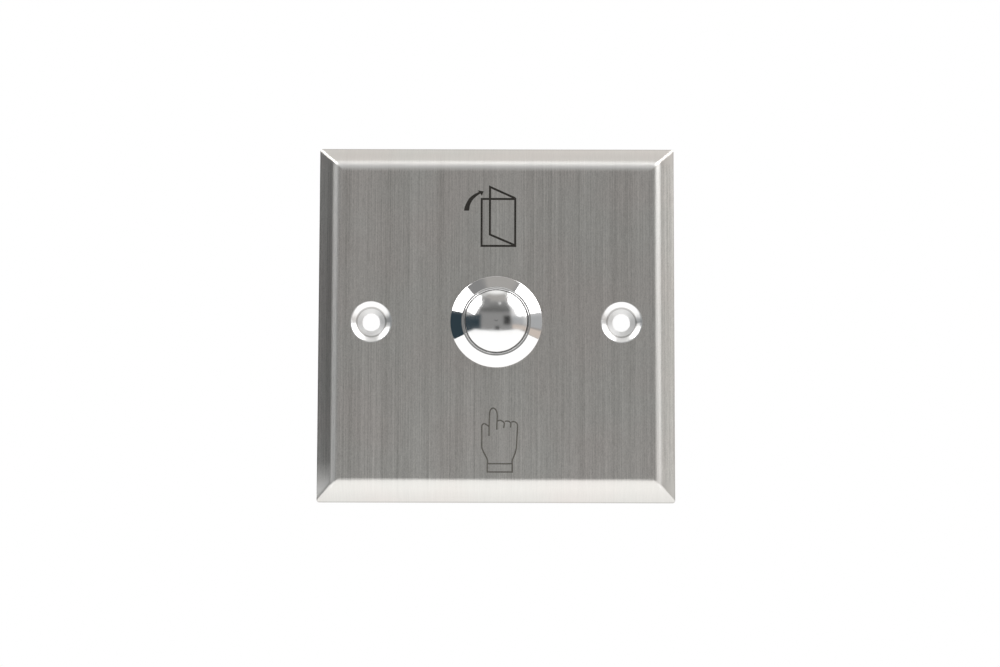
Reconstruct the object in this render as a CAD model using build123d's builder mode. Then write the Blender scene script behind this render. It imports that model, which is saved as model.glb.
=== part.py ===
from build123d import *
import os
from math import hypot, sqrt

# Door exit button: a square pressed-steel wall plate with a domed metal push button in its middle.
# Millimetres. X to the right, Z up, the front looks towards -Y. The plate's rim stands on the wall at Y = 0
# and the origin is the middle of that rim.

os.makedirs("parts", exist_ok=True)

# Wall plate
plate_width = 86.0
plate_depth = 6.0
sheet = 1.0
bevel_run = 4.4
bend_radius = 2.8
mitre_radius = 0.8
mitre_inner_radius = 0.2
rim_round = 0.2

# Pressed recesses for the two mounting screws
screw_spacing = 60.0
screw_hole_d = 4.2
dimple_mouth_d = 9.6
dimple_floor_d = 7.0
dimple_depth = 1.5
dimple_cone_drop = 0.4
dimple_lip_round = 0.6
dimple_floor_round = 0.4
hole_edge_round = 0.1

# Clearances
running_fit = 0.05
loose_fit = 0.15
hole_clearance = 0.15
stop_gap = 0.05

# Bezel housing: flange with a conical front, collar round the cap, barrel behind
barrel_d = 18.9
barrel_wall = 1.25
stop_ledge = 0.7
flange_overhang = 1.55
flange_rim = 0.65
flange_height = 2.0
flange_edge_round = 0.2
collar_length = 4.0
collar_chamfer = 0.2
collar_land = 0.6

# Seals
seal_section = 0.8
seal_inset = 0.35
seal_depth = 0.6
seal_chamfer = 0.2

# Push cap and its travel
travel = 2.5
dome_radius = 12.0
cap_rise = 0.2
cap_edge_round = 0.3
cap_seal_land = 1.7
cap_flange_thick = 1.25
cap_wall = 0.8

# Plunger in the cap, held by a snap ring
head_thick = 1.0
head_ledge = 1.4
head_boss = 2.0
stem_d = 4.9
spindle_d = 2.4
clip_thick = 0.5
clip_bite = 0.4
clip_reach = 0.65
clip_gap = 3.2
clip_eye_d = 0.5
clip_rim = 0.9
clip_mouth = 1.4
spindle_tail = 0.6
spindle_chamfer = 0.3

# Springs
spring_wire = 0.7
spring_turns = 4.5
spring_float = 0.2
small_wire = 0.3
small_turns = 2.5
small_float = 0.4
small_length = 1.8

# Cover of the contact chamber
cover_disc = 1.2
cover_wall = 1.5
cover_boss = 1.0
stem_reach = 0.2

# Contacts
contact_gap = 1.7
bridge_width = 3.2
bridge_thick = 0.5
contact_d = 2.0
contact_height = 0.4
contact_margin = 0.2
contact_taper = 12.0
rivet_d = 1.0
rivet_rim = 0.2

# Switch body with its snap lugs, seal groove, grip flutes and barrier
chamber_wall = 1.65
chamber_round = 1.2
window_width = 4.0
window_length = 1.6
window_to_seal = 0.8
lug_lead = 0.75
lug_height = 0.8
lug_flat = 0.4
tongue_slot = 0.4
tongue_thick = 1.6
seal_land = 0.5
nut_pass = 0.45
floor_thick = 4.2
body_chamfer = 0.4
flute_count = 12
flute_d = 1.2
barrier_thick = 1.2
barrier_inset = 1.5

# Terminals, clamping plates and screws
strip = 0.6
strip_width = 3.0
strip_gap = 0.15
strip_bend = 0.5
screw_thread_d = 3.0
screw_length = 3.2
head_d = 5.0
head_height = 1.7
head_round = 0.55
head_slot = 0.6
clamp_side = 5.0
clamp_thick = 0.8
clamp_round = 0.5

# Lock washer and nut
washer_thick = 0.5
washer_play = 0.1
notch_count = 12
notch_length = 1.4
notch_width = 0.9
nut_thick = 2.6
nut_corner_cut = 0.8

# Radii of what turns about the button's axis
barrel_radius = barrel_d / 2
flange_radius = barrel_radius + flange_overhang
bore_radius = barrel_radius - barrel_wall
guide_radius = bore_radius - running_fit
collar_radius = bore_radius - stop_ledge
head_radius = collar_radius - running_fit
cone_radius = collar_radius + collar_chamfer + collar_land
cap_groove_radius = head_radius - seal_section
pocket_radius = cap_groove_radius - cap_wall
boss_radius = pocket_radius - head_ledge
ring_outer = pocket_radius + clip_bite - running_fit
ring_inner = pocket_radius - clip_reach
spring_radius = ring_inner - spring_float - spring_wire / 2
small_radius = spindle_d / 2 + small_float + small_wire / 2
guide_bore = stem_d / 2 + running_fit
boss_outer = spring_radius - spring_wire / 2 - loose_fit
seal_inner = barrel_radius + seal_inset
body_radius = barrel_radius - nut_pass

# Levels along Y, front to back. The front of the object is at negative Y.
face_front = -plate_depth
face_back = face_front + sheet
flange_top = face_front - flange_height
shoulder = flange_top + collar_length
dome_edge = flange_top - cap_rise
dome_sag = dome_radius - sqrt(dome_radius**2 - head_radius**2)
dome_top = dome_edge - dome_sag
cap_groove_front = dome_edge + cap_seal_land
cap_groove_back = cap_groove_front + seal_section
cap_flange_front = shoulder + stop_gap
cap_back = cap_flange_front + cap_flange_thick
head_back = cap_back - clip_thick - 2 * head_thick
head_seat = head_back - head_thick
cover_front = cap_back + travel + stop_gap
cover_back = cover_front + cover_wall + cover_disc
spring_seat = cover_back - cover_disc
stem_back = cover_back + stem_reach
bridge_front = stem_back + small_length
bridge_back = bridge_front + bridge_thick
fixed_face = bridge_back + contact_height + contact_gap
floor_front = fixed_face + contact_height
floor_back = floor_front + floor_thick
tab_back = floor_back + strip
clamp_back = tab_back + clamp_thick
spindle_back = bridge_back + clip_thick + spindle_tail
window_front = cover_back + lug_lead
window_back = window_front + window_length
body_groove_front = window_back + window_to_seal
body_groove_back = body_groove_front + seal_section
barrel_back = body_groove_back + seal_land

# Sloping plate border: shift between the outer and inner corners of a sheet of even thickness
bevel_slant = hypot(bevel_run, plate_depth)
face_shift = sheet * (bevel_slant - bevel_run) / plate_depth
rim_shift = sheet * bevel_slant / plate_depth
rim_width = plate_width + 2 * rim_round * ((bevel_slant + bevel_run) / plate_depth - 1)
face_width = rim_width - 2 * bevel_run

# Hollow behind the plate, the outer form moved in by one sheet thickness
with BuildPart() as tray_hollow:
    with BuildSketch(Plane.XZ):
        Rectangle(rim_width - 2 * rim_shift, rim_width - 2 * rim_shift)
    with BuildSketch(Plane.XZ.offset(-face_back)):
        Rectangle(face_width - 2 * face_shift, face_width - 2 * face_shift)
    loft(ruled=True)
    fillet(tray_hollow.faces().sort_by(Axis.Y)[0].edges(), bend_radius - sheet)
    ridges = tray_hollow.edges().filter_by(lambda e: abs(e.tangent_at(0.5).X * e.tangent_at(0.5).Z) > 0.04)
    fillet(ridges, mitre_inner_radius)

# Pressed cup round one mounting screw, turned about its own axis: sloping wall, conical floor, even thickness
mouth = dimple_mouth_d / 2
floor_edge = dimple_floor_d / 2
cup_back = face_front + dimple_depth
cup_foot = cup_back - dimple_cone_drop
wall_normal = Vector(cup_foot - face_front, mouth - floor_edge).normalized()
floor_normal = Vector(dimple_cone_drop, floor_edge - screw_hole_d / 2).normalized()
foot_shift = (wall_normal + floor_normal) * (sheet / (1 + wall_normal.dot(floor_normal)))
cup_shift = sheet * wall_normal.X / (1 + wall_normal.Y)
cup_reach = mouth + cup_shift + dimple_lip_round
with BuildPart() as dimple_cup:
    with BuildSketch(Plane.XY):
        with BuildLine():
            FilletPolyline(
                (cup_reach, face_front),
                (mouth, face_front),
                (floor_edge, cup_foot),
                (screw_hole_d / 2, cup_back),
                (screw_hole_d / 2, cup_back + sheet / floor_normal.Y),
                (floor_edge + foot_shift.X, cup_foot + foot_shift.Y),
                (mouth + cup_shift, face_back),
                (cup_reach, face_back),
                radius=[0, dimple_lip_round, dimple_floor_round, hole_edge_round, hole_edge_round,
                        dimple_floor_round + 0.8 * sheet, 0, 0],
                close=True,
            )
        make_face()
    revolve(axis=Axis.Y)

# Face plate: the bevelled tray with its mitred corners, button hole and two screw cups
with BuildPart() as face_plate:
    with BuildSketch(Plane.XZ):
        Rectangle(rim_width, rim_width)
    with BuildSketch(Plane.XZ.offset(plate_depth)):
        Rectangle(face_width, face_width)
    loft(ruled=True)
    fillet(face_plate.faces().sort_by(Axis.Y)[0].edges(), bend_radius)
    ridges = face_plate.edges().filter_by(lambda e: abs(e.tangent_at(0.5).X * e.tangent_at(0.5).Z) > 0.04)
    fillet(ridges, mitre_radius)
    fillet(face_plate.faces().sort_by(Axis.Y)[-1].edges(), rim_round)
    add(tray_hollow.part, mode=Mode.SUBTRACT)
    with BuildSketch(Plane.XZ.offset(plate_depth)):
        Circle(barrel_radius + hole_clearance)
        with GridLocations(screw_spacing, 0, 2, 1):
            Circle(cup_reach)
    extrude(amount=-sheet, mode=Mode.SUBTRACT)
    with Locations((-screw_spacing / 2, 0, 0), (screw_spacing / 2, 0, 0)):
        add(dimple_cup.part)
face_plate.part.label = "face_plate"
export_step(face_plate.part, "parts/face_plate.step")

# Flange seal, sunk in a groove under the flange
with BuildPart() as panel_seal:
    with BuildSketch(Plane.XY):
        with BuildLine():
            Polyline(
                (seal_inner, face_front),
                (seal_inner + seal_section, face_front),
                (seal_inner + seal_section, face_front - seal_depth + seal_chamfer),
                (seal_inner + seal_section - seal_chamfer, face_front - seal_depth),
                (seal_inner + seal_chamfer, face_front - seal_depth),
                (seal_inner, face_front - seal_depth + seal_chamfer),
                close=True,
            )
        make_face()
    revolve(axis=Axis.Y)
panel_seal.part.label = "panel_seal"
export_step(panel_seal.part, "parts/panel_seal.step")

# Bezel housing: conical flange in front, plain collar for the cap, wider bore and barrel behind
with BuildPart() as bezel_housing:
    with BuildSketch(Plane.XY):
        with BuildLine():
            FilletPolyline(
                (collar_radius, flange_top + collar_chamfer / 2),
                (collar_radius + collar_chamfer, flange_top),
                (cone_radius, flange_top),
                (flange_radius, face_front - flange_rim),
                (flange_radius, face_front),
                (barrel_radius, face_front),
                (barrel_radius, barrel_back),
                (bore_radius, barrel_back),
                (bore_radius, shoulder),
                (collar_radius, shoulder),
                radius=[0, 0, 0, flange_edge_round, 0, 0, barrel_wall / 3, 0, 0, 0],
                close=True,
            )
        make_face()
    revolve(axis=Axis.Y)
    add(panel_seal.part, mode=Mode.SUBTRACT)
    with BuildSketch(Plane.XY):
        with Locations((0, window_front)):
            Rectangle(window_width, window_length, align=(Align.CENTER, Align.MIN))
    extrude(amount=barrel_d, both=True, mode=Mode.SUBTRACT)
bezel_housing.part.label = "bezel_housing"
export_step(bezel_housing.part, "parts/bezel_housing.step")

# Lock washer with notches that leave inward teeth, against the back of the face
with BuildPart() as lock_washer:
    with BuildSketch(Plane.XZ.offset(-face_back)):
        Circle(flange_radius)
        Circle(barrel_radius + washer_play, mode=Mode.SUBTRACT)
        with PolarLocations(barrel_radius + washer_play, notch_count):
            SlotOverall(notch_length, notch_width, mode=Mode.SUBTRACT)
    extrude(amount=-washer_thick)
lock_washer.part.label = "lock_washer"
export_step(lock_washer.part, "parts/lock_washer.step")

# Hexagon nut as wide over its flats as the flange, corners turned off at the back
nut_front = face_back + washer_thick
nut_back = nut_front + nut_thick
nut_corner = 2 * flange_radius / sqrt(3)
with BuildPart() as lock_nut:
    with BuildSketch(Plane.XZ.offset(-nut_front)):
        RegularPolygon(radius=flange_radius, side_count=6, major_radius=False)
        Circle(barrel_radius + running_fit, mode=Mode.SUBTRACT)
    extrude(amount=-nut_thick)
    with BuildSketch(Plane.XY):
        with BuildLine():
            Polyline(
                (0, nut_front),
                (nut_corner, nut_front),
                (nut_corner, nut_back - nut_corner_cut),
                (flange_radius, nut_back),
                (0, nut_back),
                close=True,
            )
        make_face()
    revolve(axis=Axis.Y, mode=Mode.INTERSECT)
lock_nut.part.label = "lock_nut"
export_step(lock_nut.part, "parts/lock_nut.step")

# Sliding seal in the cap's groove
with BuildPart() as cap_seal:
    with BuildSketch(Plane.XY):
        with BuildLine():
            Polyline(
                (cap_groove_radius, cap_groove_front),
                (head_radius - seal_chamfer, cap_groove_front),
                (head_radius + running_fit / 2, cap_groove_front + seal_chamfer),
                (head_radius + running_fit / 2, cap_groove_back - seal_chamfer),
                (head_radius - seal_chamfer, cap_groove_back),
                (cap_groove_radius, cap_groove_back),
                close=True,
            )
        make_face()
    revolve(axis=Axis.Y)
cap_seal.part.label = "cap_seal"
export_step(cap_seal.part, "parts/cap_seal.step")

# Plunger: head pressed in the cap, stem through the cover, thin spindle for the contact bridge
with BuildPart() as plunger:
    with BuildSketch(Plane.XY):
        with BuildLine():
            Polyline(
                (0, head_seat - head_boss),
                (boss_radius, head_seat - head_boss),
                (boss_radius, head_seat),
                (pocket_radius - running_fit, head_seat),
                (pocket_radius - running_fit, head_back),
                (stem_d / 2, head_back),
                (stem_d / 2, stem_back),
                (spindle_d / 2, stem_back),
                (spindle_d / 2, bridge_back),
                (spindle_d / 2 - clip_bite, bridge_back),
                (spindle_d / 2 - clip_bite, bridge_back + clip_thick),
                (spindle_d / 2, bridge_back + clip_thick),
                (spindle_d / 2, spindle_back - spindle_chamfer),
                (spindle_d / 2 - spindle_chamfer, spindle_back),
                (0, spindle_back),
                close=True,
            )
        make_face()
    revolve(axis=Axis.Y)
plunger.part.label = "plunger"
export_step(plunger.part, "parts/plunger.step")

# Push cap: domed head, seal groove, stop flange and the stepped pocket that holds the plunger
half_head = head_radius / 2
half_sag = dome_radius - sqrt(dome_radius**2 - half_head**2)
with BuildPart() as push_cap:
    with BuildSketch(Plane.XY):
        with BuildLine():
            ThreePointArc((0, dome_top), (half_head, dome_top + half_sag), (head_radius, dome_edge))
            Polyline(
                (head_radius, dome_edge),
                (head_radius, cap_groove_front),
                (cap_groove_radius, cap_groove_front),
                (cap_groove_radius, cap_groove_back),
                (head_radius, cap_groove_back),
                (head_radius, cap_flange_front),
                (guide_radius, cap_flange_front),
                (guide_radius, cap_back),
                (pocket_radius, cap_back),
                (pocket_radius, head_back + clip_thick),
                (pocket_radius + clip_bite, head_back + clip_thick),
                (pocket_radius + clip_bite, head_back),
                (pocket_radius, head_back),
                (pocket_radius, head_seat),
                (boss_radius, head_seat),
                (boss_radius, head_seat - head_boss),
                (0, head_seat - head_boss),
                (0, dome_top),
            )
        make_face()
    revolve(axis=Axis.Y)
    fillet(push_cap.faces().filter_by(GeomType.SPHERE).edges().sort_by(SortBy.LENGTH)[-1], cap_edge_round)
push_cap.part.label = "push_cap"
export_step(push_cap.part, "parts/push_cap.step")

# Snap ring that keeps the plunger's head in the cap, open at the bottom, with an eye at each end
eye_radius = (ring_outer + ring_inner) / 2
eye_x = clip_gap / 2 + clip_eye_d
eye_z = -sqrt(eye_radius**2 - eye_x**2)
with BuildPart() as cap_clip:
    with BuildSketch(Plane.XZ.offset(-head_back)):
        Circle(ring_outer)
        Circle(ring_inner, mode=Mode.SUBTRACT)
        with Locations((0, -eye_radius)):
            Rectangle(clip_gap, clip_gap, mode=Mode.SUBTRACT)
        with Locations((-eye_x, eye_z), (eye_x, eye_z)):
            Circle(clip_eye_d / 2, mode=Mode.SUBTRACT)
    extrude(amount=-clip_thick)
cap_clip.part.label = "cap_clip"
export_step(cap_clip.part, "parts/cap_clip.step")

# Return spring between the plunger's head and the cover
spring_front = head_back + spring_wire / 2
spring_back = spring_seat - spring_wire / 2
with BuildPart() as return_spring:
    with BuildLine() as spring_path:
        Helix(
            pitch=(spring_back - spring_front) / spring_turns,
            height=spring_back - spring_front,
            radius=spring_radius,
            center=(0, spring_front, 0),
            direction=(0, 1, 0),
        )
    with BuildSketch(Plane(origin=spring_path.line @ 0, z_dir=spring_path.line % 0)):
        Circle(spring_wire / 2)
    sweep(path=spring_path.line, is_frenet=True)
return_spring.part.label = "return_spring"
export_step(return_spring.part, "parts/return_spring.step")

# Cover of the contact chamber, with the stem's guide and the spring's seat
with BuildPart() as chamber_cover:
    with BuildSketch(Plane.XY):
        with BuildLine():
            Polyline(
                (guide_bore, cover_back),
                (guide_bore, spring_seat - cover_boss),
                (boss_outer, spring_seat - cover_boss),
                (boss_outer, spring_seat),
                (guide_radius - cap_flange_thick, spring_seat),
                (guide_radius - cap_flange_thick, cover_front),
                (guide_radius, cover_front),
                (guide_radius, cover_back),
                close=True,
            )
        make_face()
    revolve(axis=Axis.Y)
chamber_cover.part.label = "chamber_cover"
export_step(chamber_cover.part, "parts/chamber_cover.step")

# Overtravel spring on the spindle, in front of the bridge
small_front = stem_back + small_wire / 2
small_back = bridge_front - small_wire / 2
with BuildPart() as bridge_spring:
    with BuildLine() as small_path:
        Helix(
            pitch=(small_back - small_front) / small_turns,
            height=small_back - small_front,
            radius=small_radius,
            center=(0, small_front, 0),
            direction=(0, 1, 0),
        )
    with BuildSketch(Plane(origin=small_path.line @ 0, z_dir=small_path.line % 0)):
        Circle(small_wire / 2)
    sweep(path=small_path.line, is_frenet=True)
bridge_spring.part.label = "bridge_spring"
export_step(bridge_spring.part, "parts/bridge_spring.step")

# Contact bridge: a rounded strip with a centre hole and two rivet holes
chamber_length = 2 * (guide_radius - chamber_wall)
chamber_width = bridge_width + 4 * loose_fit
bridge_length = chamber_length - 4 * loose_fit
contact_offset = bridge_length / 2 - contact_d / 2 - contact_margin
with BuildPart() as contact_bridge:
    with BuildSketch(Plane.XZ.offset(-bridge_front)):
        RectangleRounded(bridge_length, bridge_width, chamber_round)
        Circle(spindle_d / 2 + running_fit, mode=Mode.SUBTRACT)
        with GridLocations(2 * contact_offset, 0, 2, 1):
            Circle(rivet_d / 2, mode=Mode.SUBTRACT)
    extrude(amount=-bridge_thick)
contact_bridge.part.label = "contact_bridge"
export_step(contact_bridge.part, "parts/contact_bridge.step")

# Two riveted contact points that travel with the bridge
with BuildPart() as moving_contacts:
    with BuildSketch(Plane.XZ.offset(-bridge_back)):
        with GridLocations(2 * contact_offset, 0, 2, 1):
            Circle(contact_d / 2)
    extrude(amount=-contact_height, taper=contact_taper)
    with BuildSketch(Plane.XZ.offset(-bridge_front)):
        with GridLocations(2 * contact_offset, 0, 2, 1):
            Circle(rivet_d / 2)
    extrude(amount=-bridge_thick)
    with BuildSketch(Plane.XZ.offset(-bridge_front)):
        with GridLocations(2 * contact_offset, 0, 2, 1):
            Circle(rivet_d / 2 + rivet_rim)
    extrude(amount=rivet_rim)
moving_contacts.part.label = "moving_contacts"
export_step(moving_contacts.part, "parts/moving_contacts.step")

# Clip behind the bridge, open on one side
with BuildPart() as stem_clip:
    with BuildSketch(Plane.XZ.offset(-bridge_back)):
        Circle(spindle_d / 2 + clip_rim)
        Circle(spindle_d / 2 - clip_bite, mode=Mode.SUBTRACT)
        Rectangle(clip_mouth, spindle_d + clip_rim, align=(Align.CENTER, Align.MAX), mode=Mode.SUBTRACT)
    extrude(amount=-clip_thick)
stem_clip.part.label = "stem_clip"
export_step(stem_clip.part, "parts/stem_clip.step")

# One terminal: a strip formed as a C, with an inner tab for the contact and an outer tab for the screw
riser_inner = chamber_length / 2 + strip_gap
riser_outer = riser_inner + strip
tab_end = contact_offset - contact_d / 2 - contact_margin
screw_offset = riser_outer - clamp_side / 2
with BuildPart() as no_terminal:
    with BuildSketch(Plane.XY):
        with BuildLine():
            Polyline(
                (tab_end, floor_front),
                (riser_outer, floor_front),
                (riser_outer, tab_back),
                (screw_offset, tab_back),
                (screw_offset, floor_back),
                (riser_inner, floor_back),
                (riser_inner, floor_front + strip),
                (tab_end, floor_front + strip),
                close=True,
            )
        make_face()
    extrude(amount=strip_width / 2, both=True)
    with BuildSketch(Plane.XZ.offset(-floor_back)):
        with Locations((screw_offset, 0)):
            RectangleRounded(clamp_side, clamp_side, clamp_round)
    extrude(amount=-strip)
    fillet(no_terminal.edges().filter_by(Axis.Z).group_by(Axis.Y)[0].sort_by(Axis.X)[-1], strip_bend)
    with BuildSketch(Plane.XZ.offset(-floor_back)):
        with Locations((screw_offset, 0)):
            Circle(screw_thread_d / 2)
    extrude(amount=-strip, mode=Mode.SUBTRACT)
    with BuildSketch(Plane.XZ.offset(-floor_front)):
        with Locations((contact_offset, 0)):
            Circle(rivet_d / 2)
    extrude(amount=-strip, mode=Mode.SUBTRACT)
no_terminal.part.label = "no_terminal"
export_step(no_terminal.part, "parts/no_terminal.step")

# The second terminal is the first one mirrored
with BuildPart() as com_terminal:
    mirror(no_terminal.part, about=Plane.YZ)
com_terminal.part.label = "com_terminal"
export_step(com_terminal.part, "parts/com_terminal.step")

# Two fixed contact points riveted to the inner tabs
with BuildPart() as fixed_contacts:
    with BuildSketch(Plane.XZ.offset(-floor_front)):
        with GridLocations(2 * contact_offset, 0, 2, 1):
            Circle(contact_d / 2)
    extrude(amount=contact_height, taper=contact_taper)
    with BuildSketch(Plane.XZ.offset(-floor_front)):
        with GridLocations(2 * contact_offset, 0, 2, 1):
            Circle(rivet_d / 2)
    extrude(amount=-strip)
fixed_contacts.part.label = "fixed_contacts"
export_step(fixed_contacts.part, "parts/fixed_contacts.step")

# Square clamping plates under the screw heads
with BuildPart() as wire_clamps:
    with BuildSketch(Plane.XZ.offset(-tab_back)):
        with GridLocations(2 * screw_offset, 0, 2, 1):
            RectangleRounded(clamp_side, clamp_side, clamp_round)
            Circle(screw_thread_d / 2, mode=Mode.SUBTRACT)
    extrude(amount=-clamp_thick)
wire_clamps.part.label = "wire_clamps"
export_step(wire_clamps.part, "parts/wire_clamps.step")

# Terminal screws: shank through clamp, tab and floor, slotted pan head at the back
shank_front = tab_back - screw_length
head_end = clamp_back + head_height
with BuildPart() as terminal_screws:
    with BuildSketch(Plane.XZ.offset(-shank_front)):
        with GridLocations(2 * screw_offset, 0, 2, 1):
            Circle(screw_thread_d / 2)
    extrude(amount=shank_front - clamp_back)
    with BuildSketch(Plane.XZ.offset(-clamp_back)):
        with GridLocations(2 * screw_offset, 0, 2, 1):
            Circle(head_d / 2)
    extrude(amount=-head_height)
    fillet(terminal_screws.edges().filter_by(GeomType.CIRCLE).group_by(Axis.Y)[-1], head_round)
    with BuildSketch(Plane.XZ.offset(-head_end)):
        with GridLocations(2 * screw_offset, 0, 2, 1):
            Rectangle(head_slot, head_d)
    extrude(amount=head_height / 2, mode=Mode.SUBTRACT)
terminal_screws.part.label = "terminal_screws"
export_step(terminal_screws.part, "parts/terminal_screws.step")

# Body seal, in a groove near the barrel's end
body_groove_radius = guide_radius - seal_section
with BuildPart() as base_seal:
    with BuildSketch(Plane.XY):
        with BuildLine():
            Polyline(
                (body_groove_radius, body_groove_front),
                (bore_radius - seal_chamfer, body_groove_front),
                (bore_radius, body_groove_front + seal_chamfer),
                (bore_radius, body_groove_back - seal_chamfer),
                (bore_radius - seal_chamfer, body_groove_back),
                (body_groove_radius, body_groove_back),
                close=True,
            )
        make_face()
    revolve(axis=Axis.Y)
base_seal.part.label = "base_seal"
export_step(base_seal.part, "parts/base_seal.step")

# Switch body: spigot in the housing's bore with two snap tongues, contact chamber, fluted flange, centre
# barrier, and seats of the terminals and contacts
lug_front = window_front + running_fit
lug_back = window_back - running_fit
tongue_back = window_back + tongue_slot
with BuildPart() as switch_base:
    with BuildSketch(Plane.XY):
        with BuildLine():
            Polyline(
                (0, cover_back),
                (guide_radius, cover_back),
                (guide_radius, body_groove_front),
                (body_groove_radius, body_groove_front),
                (body_groove_radius, body_groove_back),
                (guide_radius, body_groove_back),
                (guide_radius, barrel_back),
                (body_radius, barrel_back),
                (body_radius, floor_back - body_chamfer),
                (body_radius - body_chamfer, floor_back),
                (0, floor_back),
                close=True,
            )
        make_face()
    revolve(axis=Axis.Y)
    with BuildSketch(Plane.XZ.offset(-cover_back)):
        RectangleRounded(chamber_length, chamber_width, chamber_round)
        Circle(guide_bore + small_float)
    extrude(amount=cover_back - floor_front, mode=Mode.SUBTRACT)
    with BuildSketch(Plane.XZ.offset(-floor_front)):
        Circle(spindle_d / 2 + clip_rim + loose_fit)
    extrude(amount=-(spindle_back + travel + loose_fit - floor_front), mode=Mode.SUBTRACT)
    with BuildSketch(Plane.XZ.offset(-floor_back)):
        with GridLocations(2 * screw_offset, 0, 2, 1):
            Circle(screw_thread_d / 2)
    extrude(amount=floor_back - shank_front, mode=Mode.SUBTRACT)
    with BuildSketch(Plane.XZ.offset(-cover_back)):
        with GridLocations(window_width + tongue_slot, 2 * guide_radius - tongue_thick, 2, 2):
            Rectangle(tongue_slot, tongue_thick)
        with GridLocations(0, 2 * (guide_radius - tongue_thick), 1, 2):
            Rectangle(window_width + 2 * tongue_slot, tongue_slot)
    extrude(amount=cover_back - tongue_back, mode=Mode.SUBTRACT)
    with BuildSketch(Plane.YZ):
        with BuildLine():
            Polyline(
                (lug_front, guide_radius - tongue_thick / 2),
                (lug_back, guide_radius - tongue_thick / 2),
                (lug_back, guide_radius + lug_height),
                (lug_back - lug_flat, guide_radius + lug_height),
                (lug_front, guide_radius),
                close=True,
            )
        make_face()
        mirror(about=Plane.XZ)
    extrude(amount=window_width / 2 - running_fit, both=True)
    with BuildSketch(Plane.XZ.offset(-floor_back)):
        with PolarLocations(body_radius, flute_count, start_angle=180 / flute_count):
            Circle(flute_d / 2)
    extrude(amount=floor_back - barrel_back - seal_land, mode=Mode.SUBTRACT)
    with BuildSketch(Plane.XZ.offset(-floor_back)):
        Rectangle(barrier_thick, 2 * (body_radius - barrier_inset))
    extrude(amount=floor_back - head_end)
    add([no_terminal.part, com_terminal.part, fixed_contacts.part], mode=Mode.SUBTRACT)
switch_base.part.label = "switch_base"
export_step(switch_base.part, "parts/switch_base.step")
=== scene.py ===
import math

import bmesh
import bpy
import numpy as np
from mathutils import Matrix, Vector


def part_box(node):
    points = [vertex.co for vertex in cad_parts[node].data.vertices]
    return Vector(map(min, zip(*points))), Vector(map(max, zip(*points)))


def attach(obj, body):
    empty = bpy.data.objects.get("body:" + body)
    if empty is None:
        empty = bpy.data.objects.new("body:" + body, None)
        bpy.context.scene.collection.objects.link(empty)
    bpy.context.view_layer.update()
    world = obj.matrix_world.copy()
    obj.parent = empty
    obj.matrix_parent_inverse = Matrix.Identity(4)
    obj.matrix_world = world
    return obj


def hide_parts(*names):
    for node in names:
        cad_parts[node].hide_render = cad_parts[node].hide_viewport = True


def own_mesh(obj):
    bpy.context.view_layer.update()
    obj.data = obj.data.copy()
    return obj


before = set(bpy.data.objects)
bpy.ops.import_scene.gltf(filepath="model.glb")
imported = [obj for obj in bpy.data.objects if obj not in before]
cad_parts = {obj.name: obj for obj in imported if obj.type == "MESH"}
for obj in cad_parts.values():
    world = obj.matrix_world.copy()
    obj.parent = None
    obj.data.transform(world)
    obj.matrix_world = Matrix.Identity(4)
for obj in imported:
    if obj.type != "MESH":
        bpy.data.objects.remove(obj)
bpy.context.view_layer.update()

MM = 0.001
WHITE = (1.0, 1.0, 1.0, 1.0)

# ---------------------------------------------------------------- levels and radii, in millimetres
FACE_FRONT = -6.0
SCREW_X = 30.0
CUP_EDGE_R = 5.0
CUP_FLOOR_R = 3.5


# ---------------------------------------------------------------- node helpers
def emptied(owner):
    """The node tree of a material or a world, with nothing in it."""
    owner.use_nodes = True
    owner.node_tree.nodes.clear()
    return owner.node_tree


def new_material(name):
    mat = bpy.data.materials.new(name)
    tree = emptied(mat)
    out = tree.nodes.new("ShaderNodeOutputMaterial")
    bsdf = tree.nodes.new("ShaderNodeBsdfPrincipled")
    tree.links.new(bsdf.outputs["BSDF"], out.inputs["Surface"])
    return mat, tree, bsdf


def object_coords(tree, scale=(1.0, 1.0, 1.0)):
    """Coordinates in metres in the row frame, stretched by scale."""
    coords = tree.nodes.new("ShaderNodeTexCoord")
    mapping = tree.nodes.new("ShaderNodeMapping")
    mapping.inputs["Scale"].default_value = scale
    tree.links.new(coords.outputs["Object"], mapping.inputs["Vector"])
    return mapping.outputs["Vector"]


def split_coords(tree):
    """The node that gives the coordinates in metres in the row frame one by one."""
    split = tree.nodes.new("ShaderNodeSeparateXYZ")
    tree.links.new(object_coords(tree), split.inputs["Vector"])
    return split


def noise(tree, vector, scale, detail=2.0, roughness=0.5):
    node = tree.nodes.new("ShaderNodeTexNoise")
    node.inputs["Scale"].default_value = scale
    node.inputs["Detail"].default_value = detail
    node.inputs["Roughness"].default_value = roughness
    tree.links.new(vector, node.inputs["Vector"])
    return node.outputs["Fac"]


def ramp(tree, fac, low, high, start=0.3, end=0.7):
    """The colour low where fac is start, the colour high where it is end."""
    node = tree.nodes.new("ShaderNodeValToRGB")
    for element, position, colour in zip(node.color_ramp.elements, (start, end), (low, high)):
        element.position = position
        element.color = (*colour, 1.0)
    tree.links.new(fac, node.inputs["Fac"])
    return node.outputs["Color"]


def spread(tree, fac, low, high, from_low=0.3, from_high=0.7):
    """fac, which lies mostly between from_low and from_high, stretched to low..high."""
    node = tree.nodes.new("ShaderNodeMapRange")
    node.inputs["From Min"].default_value = from_low
    node.inputs["From Max"].default_value = from_high
    node.inputs["To Min"].default_value = low
    node.inputs["To Max"].default_value = high
    tree.links.new(fac, node.inputs["Value"])
    return node.outputs["Result"]


def change(tree, place, span, low=0.0, high=1.0):
    """low before the span, high after it; place is in metres, span in millimetres."""
    return spread(tree, place, low, high, span[0] * MM, span[1] * MM)


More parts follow.
